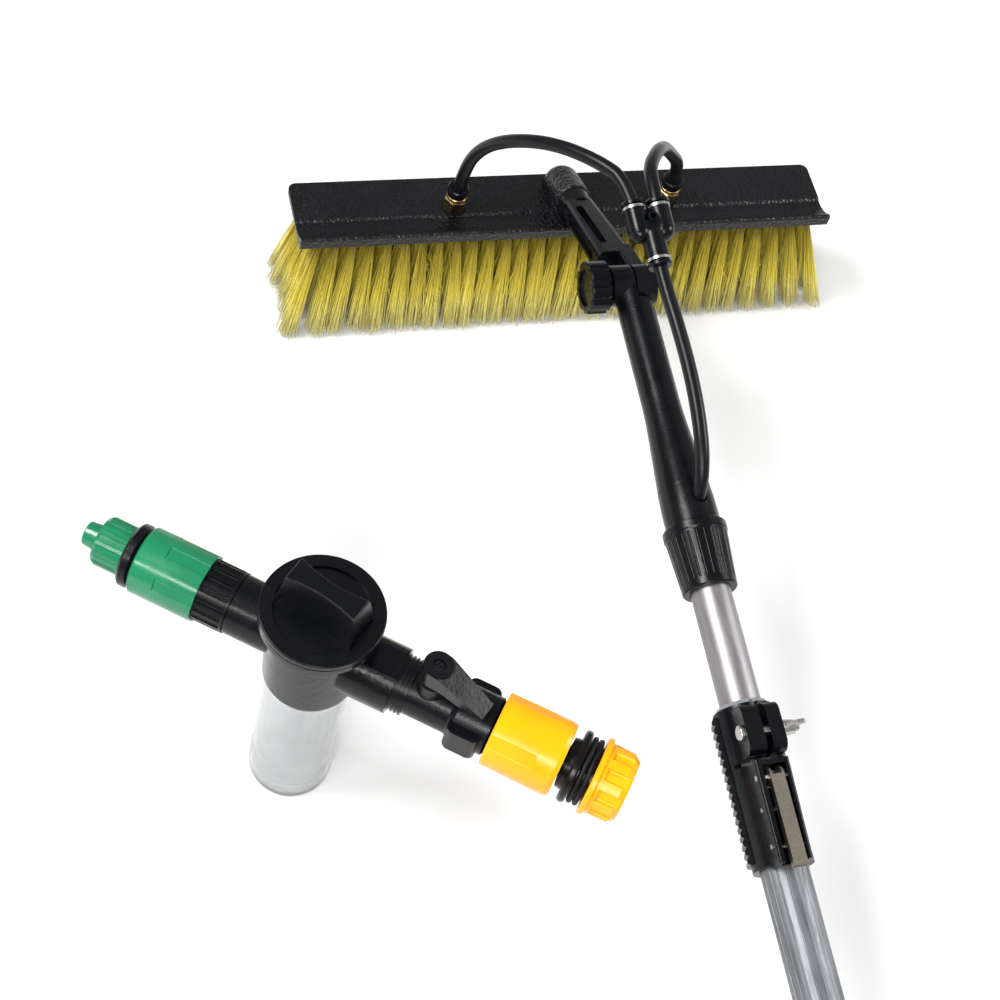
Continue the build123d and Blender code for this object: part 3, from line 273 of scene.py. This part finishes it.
# Blown plastic with faint flow lines up the wall.
clear = Paint("clear_plastic", rough=0.2, specular=0.5)
clear.shader.inputs["Transmission Weight"].default_value = 0.8
clear.shader.inputs["IOR"].default_value = 1.3
clear.base(clear.ramp(clear.noise(40, 3), (0.3, colour("dfe1e2")), (0.7, colour("eef0f0"))))
clear.rough(clear.spread(clear.noise(120, 3), 0.3, 0.7, 0.12, 0.24))
clear.bump((clear.noise(260, 2, clear.mapping((1, 1, 0.03))), 0.25), (clear.noise(300, 2), 0.04))

slots = {row["node"]: row["material_slot"] for row in frame["record"]["subparts"]}
for name, node in nodes.items():
    node.data.materials.clear()
    node.data.materials.append(materials[slots[name]])
nodes["brush_block"].data.materials[0] = block.material
nodes["bottle"].data.materials[0] = clear.material
nodes["dip_tube"].data.materials[0] = clear.material
nodes["dispenser_head"].data.materials[0] = glossy
nodes["clamp_lever"].data.materials[0] = warm_steel
nodes["lever_screw"].data.materials[0] = dark_steel
nodes["clamp_liner"].data.materials[0] = liner_grey
nodes["inner_tube"].data.materials[0] = inner_tube_metal


# ---- building helpers ----


def piece(name, data, material, body, slot, *replaced):
    """Links a piece that rides on a CAD body and stands for the CAD nodes it replaces."""
    made = bpy.data.objects.new(name, data)
    bpy.context.collection.objects.link(made)
    data.materials.append(material)
    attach(made, body)
    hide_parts(*replaced)
    return made


# ---- hoses ----

# "across" runs through the splitter, from its two branches to its stem.
across = Vector((0.05, -0.962, -0.267)).normalized()
splitter_across = (ALONG_X - across * ALONG_X.dot(across)).normalized()
splitter_mouth = spot(-2.8, -94.0, 193.3)
branch_offset = 7.3 * MM
splitter_length = 38.5 * MM
left_mouth = splitter_mouth - splitter_across * branch_offset
right_mouth = splitter_mouth + splitter_across * branch_offset
stem_tip = splitter_mouth + across * splitter_length
seat_depth = 11.0 * MM
lead = 12.5 * MM
routes = {
    "hose_left": (
        spot(FITTING_X[0], FITTING_Y, FITTING_SEAT),
        spot(FITTING_X[0], FITTING_Y, 119),
        spot(-69, -3, 146),
        spot(-57, -19, 168),
        spot(-41, -40, 186),
        spot(-24, -63, 196),
        left_mouth - across * (lead + 2 * MM),
        left_mouth + across * seat_depth,
    ),
    "hose_right": (
        right_mouth + across * seat_depth,
        right_mouth - across * lead,
        spot(8, -66, 194),
        spot(19, -49, 186),
        spot(31, -33, 173),
        spot(43, -19, 155),
        spot(56, -6, 135),
        spot(65, 1.2, 121.5),
        spot(FITTING_X[1], FITTING_Y, 109),
        spot(FITTING_X[1], FITTING_Y, FITTING_SEAT),
    ),
    "hose_stem": (
        stem_tip - across * seat_depth,
        stem_tip + across * lead,
        spot(2, -166, 174.5),
        spot(4, -192, 167.5),
        spot(4, -217, 160.5),
        spot(3, -238, 152),
        spot(2, -251.7, 138.5),
        spot(2, -256.4, 123),
    ),
}
for name, points in routes.items():
    curve = bpy.data.curves.new(name + "_line", "CURVE")
    curve.dimensions = "3D"
    curve.bevel_depth = HOSE_RADIUS * MM
    curve.bevel_resolution = 5
    curve.resolution_u = 16
    curve.use_fill_caps = True
    spline = curve.splines.new("NURBS")
    spline.points.add(len(points) - 1)
    for point, place in zip(spline.points, points):
        point.co = (*place, 1)
    spline.order_u = 3
    spline.use_endpoint_u = True
    piece(name + "_tube", curve, materials["hose"], "brush", "hose", name)


# ---- bristles ----


def filaments(name, tufts, rng):
    """Tufts of thin filaments as one mesh.

    Each tuft is (root, tip, root radius, tip radius, count), in millimetres of the layout.
    """
    vertices, faces = [], []
    corners = [(math.cos(a), math.sin(a)) for a in (0, 2 * math.pi / 3, 4 * math.pi / 3)]
    steps = (0, 0.35, 0.7, 1)
    for root, tip, root_radius, tip_radius, count in tufts:
        for _ in range(count):
            angle = rng.uniform(0, 2 * math.pi)
            reach = math.sqrt(rng.random())
            spread = Vector((math.cos(angle), math.sin(angle), 0)) * reach
            start = root + spread * root_radius
            end = tip + spread * tip_radius
            end += Vector((rng.gauss(0, 0.9), rng.gauss(0, 0.9), 0))
            end.z = max(0.3, end.z + rng.gauss(1.2, 1.1) + 1.6 * reach)
            bow = Vector((rng.gauss(0, 0.7), rng.gauss(0, 0.7), 0))
            thick = rng.uniform(0.22, 0.32)
            first = len(vertices)
            for step in steps:
                middle = start.lerp(end, step) + bow * math.sin(math.pi * step)
                middle -= spread * 1.1 * step * (1 - step)
                size = thick * (1 - 0.15 * step)
                vertices.extend(middle + Vector((c * size, s * size, 0)) for c, s in corners)
            for ring in range(len(steps) - 1):
                low = first + 3 * ring
                for k in range(3):
                    n = (k + 1) % 3
                    faces.append((low + k, low + n, low + 3 + n, low + 3 + k))
            last = first + 3 * (len(steps) - 1)
            faces.append((last, last + 1, last + 2))
    mesh = bpy.data.meshes.new(name)
    mesh.from_pydata([tuple(spot(*v)) for v in vertices], [], faces)
    mesh.polygons.foreach_set("use_smooth", [True] * len(mesh.polygons))
    return mesh


rng = random.Random(11)
tuft_columns = 30
row_y = ((-11.0, -24.5), (-2.5, -10.0), (6.0, 4.0), (14.5, 18.0), (22.5, 31.5))
tufts = []
for index, (root_y, tip_y) in enumerate(row_y):
    for column in range(tuft_columns):
        t = 2 * (column + 0.5) / tuft_columns - 1
        reach_x, flare = (169, 17) if t < 0 else (175, 28)
        root = Vector((t * reach_x, root_y, ROOT_HEIGHT))
        tip_x = t * reach_x + flare * t**5 + 1.2 * rng.gauss(0, 1)
        tip = Vector((tip_x, tip_y + rng.gauss(0, 0.9), 0))
        outer = index in (0, len(row_y) - 1) or column in (0, tuft_columns - 1)
        tufts.append((root, tip, 2.0, 6.6, 110 if outer else 40))
# A few loose filaments that have strayed from the front row.
for _ in range(60):
    x = rng.uniform(-165, 172)
    start = Vector((x, -15, rng.uniform(38, 64)))
    end = Vector((x + rng.uniform(-13, 13), -27, rng.uniform(4, 34)))
    tufts.append((start, end, 0.5, 0.5, 1))
tuft_mesh = filaments("bristle_tufts", tufts, rng)
piece("bristle_tufts", tuft_mesh, materials["bristle"], "brush", "bristle", "bristles")


# ---- floor and light ----

floor_mesh = bpy.data.meshes.new("floor")
floor_mesh.from_pydata(
    [(-6, -6, 0), (6, -6, 0), (6, 6, 0), (-6, 6, 0)],  # metres
    [],
    [(0, 1, 2, 3)],
)
floor = bpy.data.objects.new("floor", floor_mesh)
bpy.context.collection.objects.link(floor)
floor_paint = Paint("floor", rough=0.9, specular=0.1)
floor_tones = ((0.3, colour("dadada")), (0.7, colour("dcdcdc")))
floor_paint.base(floor_paint.ramp(floor_paint.noise(2), *floor_tones))
floor_mesh.materials.append(floor_paint.material)

world = bpy.data.worlds.new("world")
world.use_nodes = True
background = world.node_tree.nodes["Background"]
background.inputs["Color"].default_value = (1, 1, 1, 1)
background.inputs["Strength"].default_value = 0.42
bpy.context.scene.world = world


def area_light(name, place, aim, size, power):
    light = bpy.data.lights.new(name, "AREA")
    light.shape = "RECTANGLE"
    light.size, light.size_y = size
    light.energy = power
    made = bpy.data.objects.new(name, light)
    made.location = place
    made.rotation_euler = (Vector(aim) - Vector(place)).to_track_quat("-Z", "Y").to_euler()
    bpy.context.collection.objects.link(made)


area_light("key", (-1.4, 0.7, 1.9), (0, 0.4, 0), (0.9, 0.7), 55)
area_light("side", (1.8, 0.2, 1.3), (0, 0.4, 0.1), (0.8, 0.6), 30)
area_light("strip", (-0.9, -0.6, 1.2), (-0.1, 0.35, 0.1), (1.4, 0.12), 12)
area_light("front", (-0.7, -1.3, 1.5), (0, 0.35, 0.05), (1.0, 0.6), 26)
bpy.context.scene.view_settings.view_transform = "Standard"
